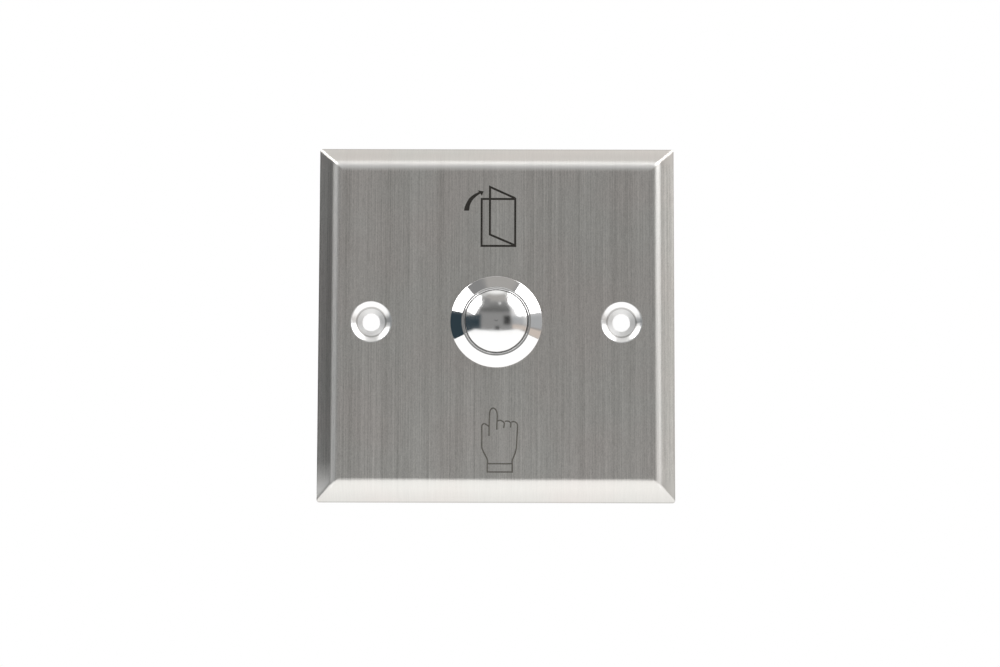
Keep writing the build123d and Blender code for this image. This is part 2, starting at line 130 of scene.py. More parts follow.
def maths(tree, operation, a, b=None):
    node = tree.nodes.new("ShaderNodeMath")
    node.operation = operation
    for socket, value in zip(node.inputs, (a, b)):
        if value is None:
            continue
        if isinstance(value, (int, float)):
            socket.default_value = value
        else:
            tree.links.new(value, socket)
    return node.outputs["Value"]


def product(tree, first, *others):
    for other in others:
        first = maths(tree, "MULTIPLY", first, other)
    return first


def total(tree, first, *others):
    for other in others:
        first = maths(tree, "ADD", first, other)
    return first


def weighted(tree, *parts):
    """The sum of parts, each a pair of a value and its weight."""
    return total(tree, *(product(tree, value, weight) for value, weight in parts))


def strip(tree, place, near, far):
    """1 between the spans near and far, 0 outside them."""
    return product(tree, change(tree, place, near), change(tree, place, far, 1.0, 0.0))


def mix_colour(tree, fac, a, b, blend="MIX"):
    node = tree.nodes.new("ShaderNodeMix")
    node.data_type = "RGBA"
    node.blend_type = blend
    for name, value in (("Factor", fac), ("A", a), ("B", b)):
        socket = [s for s in node.inputs if s.name == name and s.enabled][0]
        if isinstance(value, (int, float)):
            socket.default_value = value
        elif isinstance(value, tuple):
            socket.default_value = (*value, 1.0)
        else:
            tree.links.new(value, socket)
    return [s for s in node.outputs if s.enabled][0]


def bump(tree, bsdf, height, strength, distance):
    node = tree.nodes.new("ShaderNodeBump")
    node.inputs["Strength"].default_value = strength
    node.inputs["Distance"].default_value = distance
    tree.links.new(height, node.inputs["Height"])
    tree.links.new(node.outputs["Normal"], bsdf.inputs["Normal"])


def shades(colour, *factors):
    """The colour made darker or lighter by each factor."""
    return (tuple(c * factor for c in colour) for factor in factors)


# ---------------------------------------------------------------- materials
# Where the plate's finish and its painted light and shade change, in millimetres. Each span is one of
# height, of the distance aside from the middle, or of the difference of the two, which is 0 on the
# corners' ridges.
GRAIN_ENDS, GRAIN_ENDS_BELOW = (38.2, 39.6), (-38.4, -37.3)
TOP_BEND = (36.5, 37.5), (38.6, 39.3)
SIDE_BEND = (37.9, 38.5), (39.2, 39.7)
TOP_BEND_ENDS, SIDE_BEND_STARTS = (0.0, 0.6), (-0.6, 0.0)
LEFT_END_HEIGHT, LEFT_END_X, LEFT_END_BESIDE = (-40.0, -33.0), (-40.0, -39.0), (0.3, 1.6)
SIDE_SLOPE, SIDE_SLOPE_STARTS, LOWER_SLOPE = (40.2, 42.6), (0.0, 0.5), (-42.8, -40.0)
RIM = (42.65, 42.85)
CUP_EDGE = (CUP_EDGE_R - 0.1, CUP_EDGE_R + 0.1)
CUP_FLOOR = (CUP_FLOOR_R - 0.25, CUP_FLOOR_R + 0.05)
CUP_FOOT = (0.1, 0.3)


def brushed_steel():
    """Stainless sheet with a vertical grain, painted highlights on the bends, painted light and shade
    on the slopes and rim, pressed cups with satin floors and painted shade round their feet.
    """
    mat, tree, bsdf = new_material("brushed_plate")
    bsdf.inputs["Metallic"].default_value = 1.0
    bsdf.inputs["Anisotropic"].default_value = 0.35
    tangent = tree.nodes.new("ShaderNodeTangent")
    tangent.direction_type = "RADIAL"
    tangent.axis = "Z"
    tree.links.new(tangent.outputs["Tangent"], bsdf.inputs["Tangent"])

    split = split_coords(tree)
    height = split.outputs["Z"]
    high = maths(tree, "ABSOLUTE", height)
    aside = maths(tree, "ABSOLUTE", split.outputs["X"])
    beside = maths(tree, "SUBTRACT", aside, high)

    long_lines = noise(tree, object_coords(tree, (1.0, 0.03, 0.003)), 5200.0, 1.0, 0.6)
    short_lines = noise(tree, object_coords(tree, (1.0, 0.06, 0.05)), 6500.0, 1.0, 0.6)
    specks = noise(tree, object_coords(tree, (1.0, 0.5, 0.5)), 5500.0, 1.0, 0.5)
    broad = noise(tree, object_coords(tree, (1.0, 0.1, 0.01)), 600.0, 2.0, 0.6)
    cloud = noise(tree, object_coords(tree), 60.0, 1.0)
    lines = weighted(tree, (long_lines, 0.45), (short_lines, 0.23), (specks, 0.32))
    grain = weighted(tree, (lines, 0.82), (broad, 0.18))
    # the upper and lower slopes are smoother, and the grain ends sooner at the lower bend
    slope = maths(tree, "MINIMUM", change(tree, high, GRAIN_ENDS, 1.0, 0.15),
                  change(tree, height, GRAIN_ENDS_BELOW, 0.15, 1.0))
    grain = total(tree, product(tree, maths(tree, "SUBTRACT", grain, 0.5), slope), 0.5)

    # the upper bend and those at the sides are painted bright as a highlight, with a duller gloss
    at_top = product(tree, strip(tree, height, *TOP_BEND),
                     change(tree, beside, TOP_BEND_ENDS, 1.0, 0.0))
    at_side = product(tree, strip(tree, aside, *SIDE_BEND), change(tree, beside, SIDE_BEND_STARTS))
    # the lower end of the left slope is painted lighter the same way, as painted light, with a duller
    # gloss
    at_end = product(tree, change(tree, beside, LEFT_END_BESIDE),
                     change(tree, height, LEFT_END_HEIGHT, 1.0, 0.0),
                     change(tree, split.outputs["X"], LEFT_END_X, 1.0, 0.0))
    # distance from the nearer cup's axis
    across = maths(tree, "SUBTRACT", aside, SCREW_X * MM)
    squares = total(tree, product(tree, across, across), product(tree, height, height))
    far = maths(tree, "SQRT", squares)
    in_cup = change(tree, far, CUP_EDGE, 1.0, 0.0)
    in_floor = change(tree, far, CUP_FLOOR, 1.0, 0.0)
    # a mask for painted shade: a ring where each cup's floor meets its wall
    from_foot = maths(tree, "ABSOLUTE", maths(tree, "SUBTRACT", far, CUP_FLOOR_R * MM))
    foot_shade = change(tree, from_foot, CUP_FOOT, 1.0, 0.0)

    steel = ramp(tree, grain, (0.475, 0.459, 0.438), (0.935, 0.908, 0.882))
    tint = ramp(tree, cloud, (0.985, 1.0, 0.99), (1.0, 0.985, 0.975), 0.35, 0.65)
    colour = mix_colour(tree, 1.0, steel, tint, "MULTIPLY")
    # painted light and shade: the side slopes are lighter towards the rim, the lower one is darker
    # there, and the rim is painted darkest as a line of shade
    lighter = product(tree, change(tree, beside, SIDE_SLOPE_STARTS),
                      change(tree, aside, SIDE_SLOPE, 0.0, 0.2))
    darker = change(tree, height, LOWER_SLOPE, -0.10, 0.0)
    painted_rim_shade = change(tree, maths(tree, "MAXIMUM", aside, high), RIM, 0.0, -0.2)
    shade = total(tree, total(tree, lighter, darker), total(tree, painted_rim_shade, 1.0))
    colour = mix_colour(tree, 1.0, colour, shade, "MULTIPLY")
    # painted highlights on the bends and painted light on the left slope's lower end: the colour
    # mixed towards a bright steel
    painted_highlights = weighted(tree, (at_top, 0.85), (at_side, 0.38), (at_end, 0.8))
    colour = mix_colour(tree, painted_highlights, colour, (0.98, 0.97, 0.95))
    # the cups' steel colour, darkened by painted shade in the ring at their feet
    pressed = mix_colour(tree, foot_shade, (0.93, 0.925, 0.915), (0.52, 0.51, 0.50))
    tree.links.new(mix_colour(tree, in_cup, colour, pressed), bsdf.inputs["Base Color"])

    satin = weighted(tree, (in_floor, 0.16), (at_top, 0.10), (at_side, 0.12), (at_end, 0.16))
    tree.links.new(total(tree, spread(tree, grain, 0.31, 0.37), satin), bsdf.inputs["Roughness"])
    bump(tree, bsdf, lines, 0.10, 0.00002)
    return mat


def polished_metal(name, colour, roughness, turned_from=None):
    """Polished metal with faint wipe marks; behind the level turned_from it is left as turned."""
    mat, tree, bsdf = new_material(name)
    wipes = noise(tree, object_coords(tree), 700.0, 4.0, 0.6)
    bsdf.inputs["Metallic"].default_value = 1.0
    base = ramp(tree, wipes, *shades(colour, 0.985, 1.0))
    rough = spread(tree, wipes, roughness * 0.8, roughness * 1.3)
    if turned_from is not None:
        turned = change(tree, split_coords(tree).outputs["Y"], (turned_from, turned_from + 0.1))
        marks = noise(tree, object_coords(tree, (0.05, 1.0, 0.05)), 4000.0, 2.0, 0.6)
        as_turned = ramp(tree, marks, (0.44, 0.43, 0.41), (0.60, 0.59, 0.57))
        base = mix_colour(tree, turned, base, as_turned)
        rough = total(tree, rough, product(tree, turned, spread(tree, marks, 0.16, 0.30)))
    tree.links.new(base, bsdf.inputs["Base Color"])
    tree.links.new(rough, bsdf.inputs["Roughness"])
    return mat


def plain_metal(name, colour, roughness, scale, depth):
    """Plated, drawn or stamped metal with a slight mottle."""
    mat, tree, bsdf = new_material(name)
    mottle = noise(tree, object_coords(tree), scale, 3.0, 0.6)
    bsdf.inputs["Metallic"].default_value = 1.0
    tree.links.new(ramp(tree, mottle, *shades(colour, 0.88, 1.0)), bsdf.inputs["Base Color"])
    tree.links.new(spread(tree, mottle, roughness * 0.8, roughness * 1.25), bsdf.inputs["Roughness"])
    bump(tree, bsdf, mottle, 0.25, depth)
    return mat


def moulded(name, colour, roughness, scale, depth):
    """Moulded plastic or rubber with a fine spark-eroded grain."""
    mat, tree, bsdf = new_material(name)
    grain = noise(tree, object_coords(tree), scale, 3.0, 0.6)
    cloud = noise(tree, object_coords(tree), 220.0, 2.0)
    tree.links.new(ramp(tree, cloud, *shades(colour, 0.85, 1.1)), bsdf.inputs["Base Color"])
    tree.links.new(spread(tree, grain, roughness * 0.85, roughness * 1.15), bsdf.inputs["Roughness"])
    bsdf.inputs["Specular IOR Level"].default_value = 0.5
    bump(tree, bsdf, grain, 0.3, depth)
    return mat


def etched(name, dark, light):
    """Etched and filled lines, with a little of the steel's grain showing through."""
    mat, tree, bsdf = new_material(name)
    grain = noise(tree, object_coords(tree, (1.0, 1.0, 0.05)), 6000.0, 2.0)
    tree.links.new(ramp(tree, grain, dark, light, 0.35, 0.65), bsdf.inputs["Base Color"])
    tree.links.new(spread(tree, grain, 0.45, 0.6), bsdf.inputs["Roughness"])
    bsdf.inputs["Specular IOR Level"].default_value = 0.3
    return mat


# Colour, roughness, and the scale and depth in metres of the mottle or grain
PLAIN_METALS = {
    "nickel_nut": ((0.74, 0.70, 0.64), 0.24, 900.0, 0.00002),
    "spring_steel": ((0.62, 0.62, 0.63), 0.28, 1500.0, 0.00001),
    "zinc_screws": ((0.72, 0.73, 0.75), 0.30, 1200.0, 0.00002),
    "tinned_strip": ((0.76, 0.76, 0.75), 0.34, 1000.0, 0.00001),
    "contact_points": ((0.86, 0.85, 0.82), 0.25, 1500.0, 0.00001),
    "copper_bridge": ((0.80, 0.50, 0.34), 0.32, 1100.0, 0.00001),
}
MOULDINGS = {
    "black_body": ((0.022, 0.022, 0.024), 0.48, 2600.0, 0.00003),
    "white_plunger": ((0.76, 0.755, 0.74), 0.42, 2600.0, 0.00002),
    "black_seal": ((0.018, 0.018, 0.018), 0.62, 3200.0, 0.00004),
}

materials = {
    "brushed_plate": brushed_steel(),
    "polished_bezel": polished_metal("polished_bezel", (0.84, 0.835, 0.83), 0.04, FACE_FRONT),
    "polished_cap": polished_metal("polished_cap", (0.82, 0.815, 0.81), 0.14),
}
for make, table in ((plain_metal, PLAIN_METALS), (moulded, MOULDINGS)):
    for slot_name, values in table.items():
        materials[slot_name] = make(slot_name, *values)

node_slots = {
    "face_plate": "brushed_plate",
    "bezel_housing": "polished_bezel",
    "push_cap": "polished_cap",
    "panel_seal": "black_seal",
    "cap_seal": "black_seal",
    "base_seal": "black_seal",
    "lock_washer": "zinc_screws",
    "lock_nut": "nickel_nut",
    "plunger": "white_plunger",
    "cap_clip": "spring_steel",
    "stem_clip": "spring_steel",
    "return_spring": "spring_steel",
    "bridge_spring": "spring_steel",
    "chamber_cover": "black_body",
    "switch_base": "black_body",
    "contact_bridge": "copper_bridge",
    "moving_contacts": "contact_points",
    "fixed_contacts": "contact_points",
    "no_terminal": "tinned_strip",
    "com_terminal": "tinned_strip",
    "terminal_screws": "zinc_screws",
    "wire_clamps": "zinc_screws",
}

for node_name, slot_name in node_slots.items():
    node_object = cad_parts[node_name]
    node_object.data.materials.clear()
    node_object.data.materials.append(materials[slot_name])


# ---------------------------------------------------------------- mesh helpers
def add_object(name, points, faces, material):
    """A mesh object from points in millimetres in the row frame."""
    mesh = bpy.data.meshes.new(name)
    mesh.from_pydata([tuple(c * MM for c in p) for p in points], [], faces)
    mesh.validate()
    mesh.materials.append(material)
    obj = bpy.data.objects.new(name, mesh)
    bpy.context.scene.collection.objects.link(obj)
    return obj


def outward(obj):
    """Turns every face of a closed mesh outward."""
    bm = bmesh.new()
    bm.from_mesh(obj.data)
    bmesh.ops.recalc_face_normals(bm, faces=bm.faces)
    bm.to_mesh(obj.data)
    bm.free()


def smooth(obj, angle):
    """Smooth shading, broken where faces meet at more than angle degrees."""
    obj.data.shade_smooth()
    obj.data.set_sharp_from_angle(angle=math.radians(angle))


def quads(columns, rows):
    """Faces between rows of points, each row closed on itself."""
    return [(r * columns + c, r * columns + (c + 1) % columns,
             (r + 1) * columns + (c + 1) % columns, (r + 1) * columns + c)
            for r in range(rows - 1) for c in range(columns)]


# ---------------------------------------------------------------- bezel housing with its thread
COLUMNS = 192
BARREL_R, BORE_R, COLLAR_R, FLANGE_R = 9.45, 8.2, 7.5, 11.0
BARREL_BACK, FLANGE_TOP, SHOULDER = 7.0, -8.0, -4.0
WINDOW_FRONT, WINDOW_BACK, WINDOW_HALF = 3.3, 4.9, 2.0
# the collar's edge: a bead, then a fine groove beside it
COLLAR_EDGE, BEAD_R, BEAD_ROUND = -7.65, 7.74, 0.19
FINE_GROOVE = [(7.94, -7.66), (8.15, -7.66), (8.22, FLANGE_TOP)]
# the flange's cone, its rounded rim, and the groove for the seal, with its corners cut
CONE_R, CONE_DROP, CONE_ROWS, RIM_ROUND, RIM_LEAD = 8.3, 1.35, 3, 0.2, 0.03
SEAL_IN, SEAL_OUT, SEAL_FLOOR, SEAL_CUT = 9.8, 10.6, -6.6, 0.2
# the thread and the rounding at the barrel's end, and shares of the way from a crest to the next root
PITCH, THREAD_DEPTH, THREAD_STEP, RUNOUT, BARREL_ROUND = 1.0, 0.55, 0.1, 0.5, 0.4
THREAD_FRONT, THREAD_BACK = -5.6, 6.5
CREST_SHARE, FLANK_SHARE = 0.125, 0.6


def arc(centre, radius, start, end, steps):
    """Points (r, y) on an arc, from the angle start to end in degrees."""
    return [(centre[0] + radius * math.cos(a), centre[1] + radius * math.sin(a))
            for a in np.radians(np.linspace(start, end, steps + 1))]


def thread(y, turn):
    """Radius of the threaded barrel at level y and the share of a turn."""
    crest = (y / PITCH - turn) % 1.0
    away = 2 * min(crest, 1.0 - crest)
    cut = min(1.0, max(0.0, (away - CREST_SHARE) / FLANK_SHARE))
    fade = min(1.0, max(0.0, (y - THREAD_FRONT) / RUNOUT), max(0.0, (THREAD_BACK - y) / RUNOUT))
    return BARREL_R - THREAD_DEPTH * cut * fade


def bezel_profile():
    """Rows (r, y, threaded) of the section, from the collar's edge round the outside to the bore."""
    cone_wide = FLANGE_R - CONE_R
    tilt = math.degrees(math.atan2(cone_wide, CONE_DROP))
    rim_y = FLANGE_TOP + CONE_DROP + RIM_ROUND * math.tan(math.radians(tilt / 2))
    rim_rows = arc((FLANGE_R - RIM_ROUND, rim_y), RIM_ROUND, -tilt, 0, 8)
    bead = (BEAD_R, FLANGE_TOP + BEAD_ROUND)
    rows = [(COLLAR_R, COLLAR_EDGE)] + arc(bead, BEAD_ROUND, 180, 350, 6)
    rows += FINE_GROOVE
    rows += [(CONE_R + cone_wide * k / CONE_ROWS, FLANGE_TOP + CONE_DROP * k / CONE_ROWS)
             for k in range(CONE_ROWS)]
    rim_r, rim_y = rim_rows[0]
    rows += [(rim_r - RIM_LEAD, rim_y - RIM_LEAD * CONE_DROP / cone_wide)]
    rows += rim_rows + [(FLANGE_R, FACE_FRONT)]
    rows += [(SEAL_OUT, FACE_FRONT), (SEAL_OUT, SEAL_FLOOR + SEAL_CUT),
             (SEAL_OUT - SEAL_CUT, SEAL_FLOOR), (SEAL_IN + SEAL_CUT, SEAL_FLOOR),
             (SEAL_IN, SEAL_FLOOR + SEAL_CUT), (SEAL_IN, FACE_FRONT)]
    rows = [(r, y, False) for r, y in rows + [(BARREL_R, FACE_FRONT)]]
    levels = np.round(np.arange(THREAD_FRONT, THREAD_BACK + THREAD_STEP / 2, THREAD_STEP), 3)
    rows += [(BARREL_R, y, True) for y in levels]
    end = (BARREL_R - BARREL_ROUND, BARREL_BACK - BARREL_ROUND)
    rows += [(r, y, False) for r, y in arc(end, BARREL_ROUND, 0, 90, 5)]
    rows += [(BORE_R, y, False) for y in (BARREL_BACK, WINDOW_BACK, WINDOW_FRONT, SHOULDER)]
    return rows + [(COLLAR_R, SHOULDER, False)]


def bezel_mesh():
    """The housing with its thread and two snap windows, one above and one below."""
    rows = bezel_profile()
    angles = [2 * math.pi * c / COLUMNS for c in range(COLUMNS)]
    edge = math.asin(WINDOW_HALF / BARREL_R)
    sides = []
    for middle in (math.pi / 2, 3 * math.pi / 2):
        pair = []
        for target in (middle - edge, middle + edge):
            c = min(range(COLUMNS), key=lambda k: abs(angles[k] - target))
            angles[c] = target
            pair.append(c)
        sides.append(pair)
    edge_columns = [c for pair in sides for c in pair]
    points = []
    for r, y, threaded in rows:
        for c, angle in enumerate(angles):
            radius = thread(y, angle / (2 * math.pi)) if threaded else r
            x, z = radius * math.cos(angle), radius * math.sin(angle)
            if r == BORE_R and c in edge_columns:
                x = math.copysign(WINDOW_HALF, x)
                z = math.copysign(math.sqrt(BORE_R**2 - WINDOW_HALF**2), z)
            points.append((x, y, z))

    def at(row, column):
        return row % len(rows) * COLUMNS + column % COLUMNS

    near = 1e-6
    outer = [i for i, (r, y, threaded) in enumerate(rows)
             if threaded and WINDOW_FRONT - near < y < WINDOW_BACK + near]
    inner_back = [row[:2] for row in rows].index((BORE_R, WINDOW_BACK))
    inner_front = inner_back + 1
    faces = []
    for i in range(len(rows)):
        in_rows = i in outer[:-1] or i == inner_back
        for c in range(COLUMNS):
            if in_rows and any(a <= c < b for a, b in sides):
                continue
            faces.append((at(i, c), at(i, c + 1), at(i + 1, c + 1), at(i + 1, c)))
    for a, b in sides:
        for c in range(a, b):
            for i, j in ((outer[0], inner_front), (outer[-1], inner_back)):
                faces.append((at(i, c), at(i, c + 1), at(j, c + 1), at(j, c)))
        for c in (a, b):
            faces.append(tuple(at(i, c) for i in outer) + (at(inner_back, c), at(inner_front, c)))
    obj = add_object("threaded_bezel", points, faces, materials["polished_bezel"])
    outward(obj)
    smooth(obj, angle=20)
    return obj


bezel = bezel_mesh()
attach(bezel, "plate_unit")
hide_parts("bezel_housing")


# ---------------------------------------------------------------- springs
# Points round the wire, steps in a turn, and a closed turn's rise over the wire's thickness
COIL_AROUND, COIL_STEPS, COIL_LAY = 12, 48, 1.04


def coil(name, node, wire, turns, closed, body):
    """A round-wire coil in the CAD spring's box, its end turns lying on each other."""
    low, high = (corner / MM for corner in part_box(node))
    mean = (high.x - low.x) / 2 - wire / 2
    start, end = low.y + wire / 2, high.y - wire / 2
    end_rise = wire * COIL_LAY * closed
    open_turns = turns - 2 * closed
    along = int(turns * COIL_STEPS)
    points = []
    for i in range(along + 1):
        turn = turns * i / along
        if turn < closed:
            rise = end_rise * turn / closed
        elif turn > turns - closed:
            rise = end - start - end_rise * (turns - turn) / closed
        else:
            rise = end_rise + (end - start - 2 * end_rise) * (turn - closed) / open_turns
        angle = 2 * math.pi * turn
        for k in range(COIL_AROUND):
            ring = 2 * math.pi * k / COIL_AROUND
            r = mean + wire / 2 * math.cos(ring)
            y = start + rise + wire / 2 * math.sin(ring)
            points.append((r * math.cos(angle), y, r * math.sin(angle)))
    faces = quads(COIL_AROUND, along + 1)
    faces += [tuple(i * COIL_AROUND + k for k in range(COIL_AROUND)) for i in (0, along)]
    obj = add_object(name, points, faces, materials["spring_steel"])
    outward(obj)
    smooth(obj, angle=40)
    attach(obj, body)
    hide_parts(node)
    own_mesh(obj)


coil("return_coil", "return_spring", wire=0.7, turns=5.0, closed=0.9,
     body="plate_unit")
coil("bridge_coil", "bridge_spring", wire=0.3, turns=3.6, closed=0.8,
     body="push_button")


# ---------------------------------------------------------------- pictograms: a door, a pointing hand
INLAY_FRONT = FACE_FRONT - 0.012
INLAY_BACK = FACE_FRONT + 0.06
# Lines that cross lie at levels this far apart
LAYER = 0.001
MITRE_LIMIT, FLOW_STEPS = 0.35, 4
DOOR_LINE, HAND_LINE = 0.50, 0.32

# Points (x, z)
DOOR_FRAME = [(-3.60, 29.81), (4.48, 29.81), (4.48, 18.40), (-3.60, 18.40)]
DOOR_LEAF = [(4.46, 30.0), (-1.60, 32.75), (-1.60, 21.16), (4.46, 18.55)]
ARROW_OUTER = [(-7.86, 26.95), (-7.65, 27.9), (-7.21, 28.92), (-6.51, 30.04), (-5.41, 30.95),
               (-4.27, 31.5)]
ARROW_INNER = [(-6.6, 26.95), (-6.44, 28.11), (-5.91, 29.33), (-5.01, 30.34), (-3.95, 31.1)]
ARROW_HEAD = [(-4.51, 31.91), (-3.11, 31.67), (-3.56, 30.59)]
HAND = (
    [(-1.65, -27.35), (-1.61, -25.12), (-1.55, -23.05), (-1.49, -21.7), (-1.19, -20.95),
     (-0.67, -20.69), (-0.16, -20.95), (0.16, -21.53), (0.32, -22.41), (0.28, -23.69),
     (0.22, -24.64), (0.21, -25.84)],
    [(0.3, -23.78), (0.8, -23.62), (1.28, -23.68), (1.76, -23.97), (2.0, -24.32), (1.95, -24.83),
     (1.83, -25.43)],
    [(2.08, -23.89), (2.55, -23.78), (3.03, -23.85), (3.43, -24.12), (3.54, -24.51), (3.48, -25.3)],
    [(3.63, -24.03), (4.14, -23.88), (4.62, -24.02), (5.02, -24.39), (5.14, -24.95), (5.1, -26.22),
     (4.98, -28.13), (4.92, -29.4), (4.79, -30.59), (4.48, -31.71), (4.08, -32.66), (3.89, -33.3),
     (3.89, -33.93)],
    [(-1.62, -25.24), (-1.97, -24.85), (-2.37, -24.57), (-2.77, -24.43), (-3.12, -24.52),
     (-3.32, -24.84), (-3.37, -25.45), (-3.36, -27.83), (-3.35, -29.9), (-3.11, -30.77),
     (-2.66, -31.73), (-2.22, -32.55), (-1.99, -33.18), (-1.99, -33.95)],
)
CUFF = [(-2.02, -33.94), (3.91, -33.94), (3.91, -35.92), (-2.02, -35.92)]


def prism(outline, points, faces):
    """Adds a closed inlay with this outline in (x, z)."""
    start, count = len(points), len(outline)
    area = sum(a[0] * b[1] - b[0] * a[1] for a, b in zip(outline, outline[1:] + outline[:1]))
    if area < 0:
        outline = outline[::-1]
    points += [(x, y, z) for y in (INLAY_FRONT, INLAY_BACK) for x, z in outline]
    faces.append(tuple(start + i for i in range(count)))
    faces.append(tuple(start + count + i for i in reversed(range(count))))
    for i in range(count):
        j = (i + 1) % count
        faces.append((start + j, start + i, start + count + i, start + count + j))


def stroke(line, width, level, points, faces, closed=False):
    """Adds a line of even width along these points, its corners mitred, as one closed ribbon."""
    track = [Vector(p) for p in line]
    count = len(track)
    left, right = [], []
    for i, p in enumerate(track):
        before = track[i - 1] if closed or i > 0 else None
        after = track[(i + 1) % count] if closed or i < count - 1 else None
        into = (p - before).normalized() if before is not None else (after - p).normalized()
        out = (after - p).normalized() if after is not None else into
        middle = (into + out).normalized()
        normal = Vector((-middle.y, middle.x)) * (width / 2 / max(MITRE_LIMIT, middle.dot(into)))
        left.append(tuple(p + normal))
        right.append(tuple(p - normal))
    front, back = INLAY_FRONT - level, INLAY_BACK
    start = len(points)
    points += [(x, y, z) for side, y in ((left, front), (right, front), (right, back), (left, back))
               for x, z in side]
    for i in range(count if closed else count - 1):
        j = (i + 1) % count
        for k in range(4):
            a, b = start + k * count, start + (k + 1) % 4 * count
            faces.append((a + i, a + j, b + j, b + i))
    if not closed:
        for i in (0, count - 1):
            faces.append(tuple(start + k * count + i for k in range(4)))


def flow(line):
    """The line smoothed: a curve through its points, in FLOW_STEPS pieces between each two."""
    pts = np.array([line[0], *line, line[-1]], float)
    out = []
    for p0, p1, p2, p3 in zip(pts, pts[1:], pts[2:], pts[3:]):
        for t in np.linspace(0.0, 1.0, FLOW_STEPS, endpoint=False):
            out.append(tuple(0.5 * (2 * p1 + (p2 - p0) * t + (2 * p0 - 5 * p1 + 4 * p2 - p3) * t**2
                                    + (3 * p1 - p0 - 3 * p2 + p3) * t**3)))
    out.append(line[-1])
    return out


door, hand = ([], []), ([], [])
stroke(DOOR_FRAME, DOOR_LINE, 0.0, *door, closed=True)
stroke(DOOR_LEAF, DOOR_LINE, 2 * LAYER, *door)
prism(flow(ARROW_OUTER) + ARROW_HEAD + flow(ARROW_INNER)[::-1], *door)
for number, finger in enumerate(HAND):
    stroke(flow(finger), HAND_LINE, number * LAYER, *hand)
stroke(CUFF, HAND_LINE, 6 * LAYER, *hand, closed=True)
door_fill = etched("door_fill", (0.016, 0.014, 0.012), (0.030, 0.027, 0.022))
door_sign = add_object("door_sign", *door, door_fill)
hand_etching = etched("hand_etching", (0.085, 0.080, 0.070), (0.13, 0.125, 0.11))
hand_sign = add_object("hand_sign", *hand, hand_etching)

for sign in (door_sign, hand_sign):
    outward(sign)
    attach(sign, "plate_unit")


# ---------------------------------------------------------------- studio
SOFTBOX_DISTANCE, ROOM_DISTANCE, ROOM_SPACING = 1400, 2000, 2
ROOM_LOWEST, ROOM_HIGHEST = -40, 84
TABLE_EDGE, TABLE_LEVEL = -455, -150
TABLE_SIDE, TABLE_BACK, TABLE_BACK_SIDE, TABLE_BEND = 560, 1400, 1500, 200
FLOOR_HALF, FLOOR_LEVEL = 3000, -700


def glow(name, radiance):
    mat = bpy.data.materials.new(name)
    tree = emptied(mat)
    out = tree.nodes.new("ShaderNodeOutputMaterial")
    emit = tree.nodes.new("ShaderNodeEmission")
    emit.inputs["Color"].default_value = WHITE
    emit.inputs["Strength"].default_value = radiance
    tree.links.new(emit.outputs["Emission"], out.inputs["Surface"])
    return mat


def direction(az, el):
    """The direction az from the front towards the right and el upwards, in degrees."""
    a, e = math.radians(az), math.radians(el)
    return Vector((math.sin(a) * math.cos(e), -math.cos(a) * math.cos(e), math.sin(e)))


def softbox(name, corners, radiance):
    """A lit panel with its corners in these directions."""
    middle = sum((direction(*c) for c in corners), Vector()).normalized()
    rim = [direction(*c) for c in corners]
    points = [middle * SOFTBOX_DISTANCE]
    points += [way * (SOFTBOX_DISTANCE / way.dot(middle)) for way in rim]
    faces = [(0, 1 + i, 1 + (i + 1) % len(rim)) for i in range(len(rim))]
    obj = add_object(name, points, faces, glow(name, radiance))
    obj.visible_camera = False


def step(x, edge, width):
    """0 below edge, 1 above, with a soft change over width degrees."""
    t = min(1.0, max(0.0, (x - edge) / width + 0.5))
    return t * t * (3 - 2 * t)


def patch(az, el, az_range, el_range, width):
    """1 inside a range of directions and 0 outside, with soft edges."""
    return (step(az, az_range[0], width) * (1 - step(az, az_range[1], width))
            * step(el, el_range[0], width) * (1 - step(el, el_range[1], width)))


# Light of the dim middle of the studio, in front of the object, by elevation
MIDDLE_TONES = ((-40, 0.30), (18, 0.30), (23, 0.27), (27, 0.15), (33, 0.16), (46, 0.26), (56, 0.37),
                (66, 0.62), (73, 1.05), (84, 1.2))

# What stands round the object in the studio: ranges of azimuth and elevation, softness of the edges,
# light and tint, each laid over those before it. A light of None is that of MIDDLE_TONES.
ROOM = (
    ((-180, 180), (-60, 84), 4, 0.80, (1.0, 0.99, 0.97)),
    ((-72, 100), (-40, 84), 8, 0.62, (1.0, 1.0, 0.99)),
    ((-58, 52), (-40, 84), 16, None, (1.0, 1.0, 0.99)),
    ((-44, 44), (52, 70), 9, 0.42, (1.03, 1.0, 0.96)),
    ((-60, -21), (36, 58), 7, 0.27, (1.0, 1.0, 1.0)),
    ((37, 60), (12, 46), 13, 0.85, (1.0, 1.0, 1.0)),
    ((-64, -47), (20, 44), 11, 0.75, (1.0, 1.0, 1.0)),
    ((17, 33), (-4, 16), 9, 0.04, (1.0, 1.0, 1.0)),
    ((-3, 7), (-19, -8), 5, 0.06, (1.0, 1.0, 1.0)),
    ((8, 12), (44, 48), 4, 1.7, (1.0, 1.0, 1.0)),
    ((38, 82), (-40, 16), 12, 0.46, (0.98, 1.0, 1.02)),
    ((38, 82), (-12, -2), 1.5, 0.6, (1.12, 0.98, 0.88)),
    ((38, 82), (-3, -2), 1.5, 0.2, (1.0, 1.0, 1.0)),
    ((66, 100), (-1, 16), 14, 0.66, (1.0, 1.0, 1.0)),
    ((76, 103), (-4, 10), 5, 0.35, (1.0, 1.0, 1.0)),
    ((103, 150), (-40, 30), 8, 0.54, (1.0, 0.98, 0.95)),
    ((-82, -36), (-40, 19), 9, 0.055, (0.6, 0.95, 1.2)),
    ((-90, -76), (-7, 14), 5, 0.08, (0.95, 1.0, 1.04)),
    ((-150, -88), (-40, 20), 5, 0.065, (0.95, 1.0, 1.04)),
)


